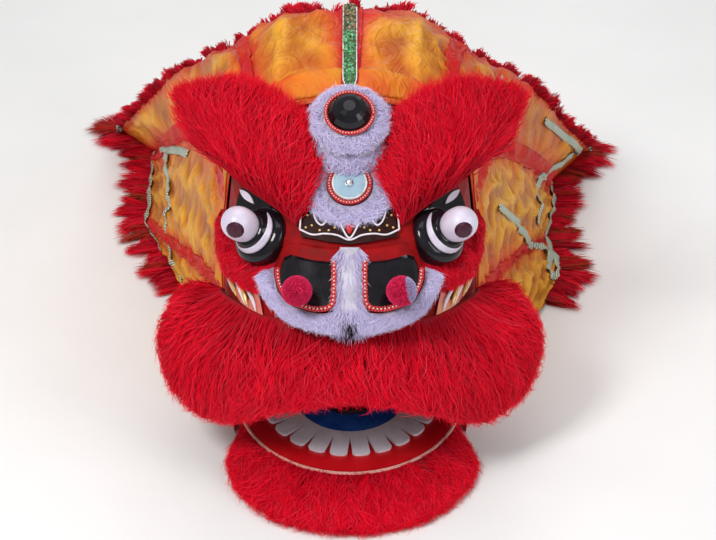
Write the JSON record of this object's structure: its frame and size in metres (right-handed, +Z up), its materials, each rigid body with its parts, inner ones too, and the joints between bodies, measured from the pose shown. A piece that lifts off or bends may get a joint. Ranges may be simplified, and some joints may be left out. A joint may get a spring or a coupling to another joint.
{
  "type": "lion dance head",
  "caption": "Lion dance head with fur-trimmed face, horn, forehead mirror, hinged lower jaw and a fringed satin cape that spreads from the crown to the floor.",
  "frame": {"origin": "middle of the whole object's underside, on the floor it stands on", "axes": "+Z up, -Y the way the face looks, +X the width, to the viewer's right"},
  "size_m": [1.0452, 1.4174, 0.639],
  "materials": {
    "red_lacquer": "glossy red lacquer over papier-mache",
    "red_fur": "long red wool fur",
    "white_fur": "white rabbit fur",
    "black_gloss": "gloss black lacquer",
    "white_paint": "satin white paint",
    "pupil_paint": "dark maroon gloss",
    "red_beads": "rows of red sequin beads",
    "silver_trim": "bright silver trim",
    "mirror_glass": "small round mirror",
    "pompom_wool": "pink-red wool pompom",
    "forehead_lacquer": "dark brown lacquer",
    "flame_paint": "pink and gold painted flames",
    "jaw_board": "red painted board",
    "piping": "pale edging cord",
    "gum_blue": "blue felt",
    "tongue_black": "black felt with white lines",
    "gold_satin": "gold brocade satin",
    "red_satin": "red satin bands",
    "silver_braid": "silver braid",
    "green_sequins": "green sequins with silver edges"
  },
  "bodies": {
    "head": {"head_shell": "red_lacquer", "nose": "red_lacquer", "nose_ridge_fur": "white_fur", "eye_base_left": "black_gloss", "eye_ring_left": "white_paint", "eye_ball_left": "white_paint", "eye_pupil_left": "pupil_paint", "eye_lid_left": "white_paint", "brow_fur_left": "red_fur", "nostril_left": "black_gloss", "nostril_beads_left": "red_beads", "nostril_fur_left": "white_fur", "pompom_post_left": "silver_trim", "pompom_left": "pompom_wool", "cheek_fur_left": "red_fur", "cheek_flame_left": "flame_paint", "eye_base_right": "black_gloss", "eye_ring_right": "white_paint", "eye_ball_right": "white_paint", "eye_pupil_right": "pupil_paint", "eye_lid_right": "white_paint", "brow_fur_right": "red_fur", "nostril_right": "black_gloss", "nostril_beads_right": "red_beads", "nostril_fur_right": "white_fur", "pompom_post_right": "silver_trim", "pompom_right": "pompom_wool", "cheek_fur_right": "red_fur", "cheek_flame_right": "flame_paint", "forehead_plate": "forehead_lacquer", "forehead_scroll": "white_paint", "mirror_fur": "white_fur", "mirror_beads": "red_beads", "mirror_rim": "silver_trim", "mirror_disc": "mirror_glass", "mirror_boss": "silver_trim", "horn_core": "red_lacquer", "horn_tip": "black_gloss", "horn_beads_upper": "red_beads", "horn_beads_lower": "red_beads", "horn_fur_upper": "white_fur", "horn_fur_lower": "white_fur", "moustache": "red_fur", "cape_cloth": "gold_satin", "cape_trim": "red_satin", "cape_braid": "silver_braid", "cape_fringe": "red_fur", "crest": "green_sequins"},
    "jaw": {"jaw_plate": "jaw_board", "jaw_piping": "piping", "jaw_teeth": "white_paint", "jaw_gum": "gum_blue", "tongue": "tongue_black", "beard": "red_fur"}
  },
  "joints": [
    {"name": "jaw_hinge", "type": "hinge", "parent": "head", "child": "jaw", "pos_m": [0.0002, -0.389, 0.052], "axis": [-1, 0, 0], "range_deg": [0, 24]}
  ]
}
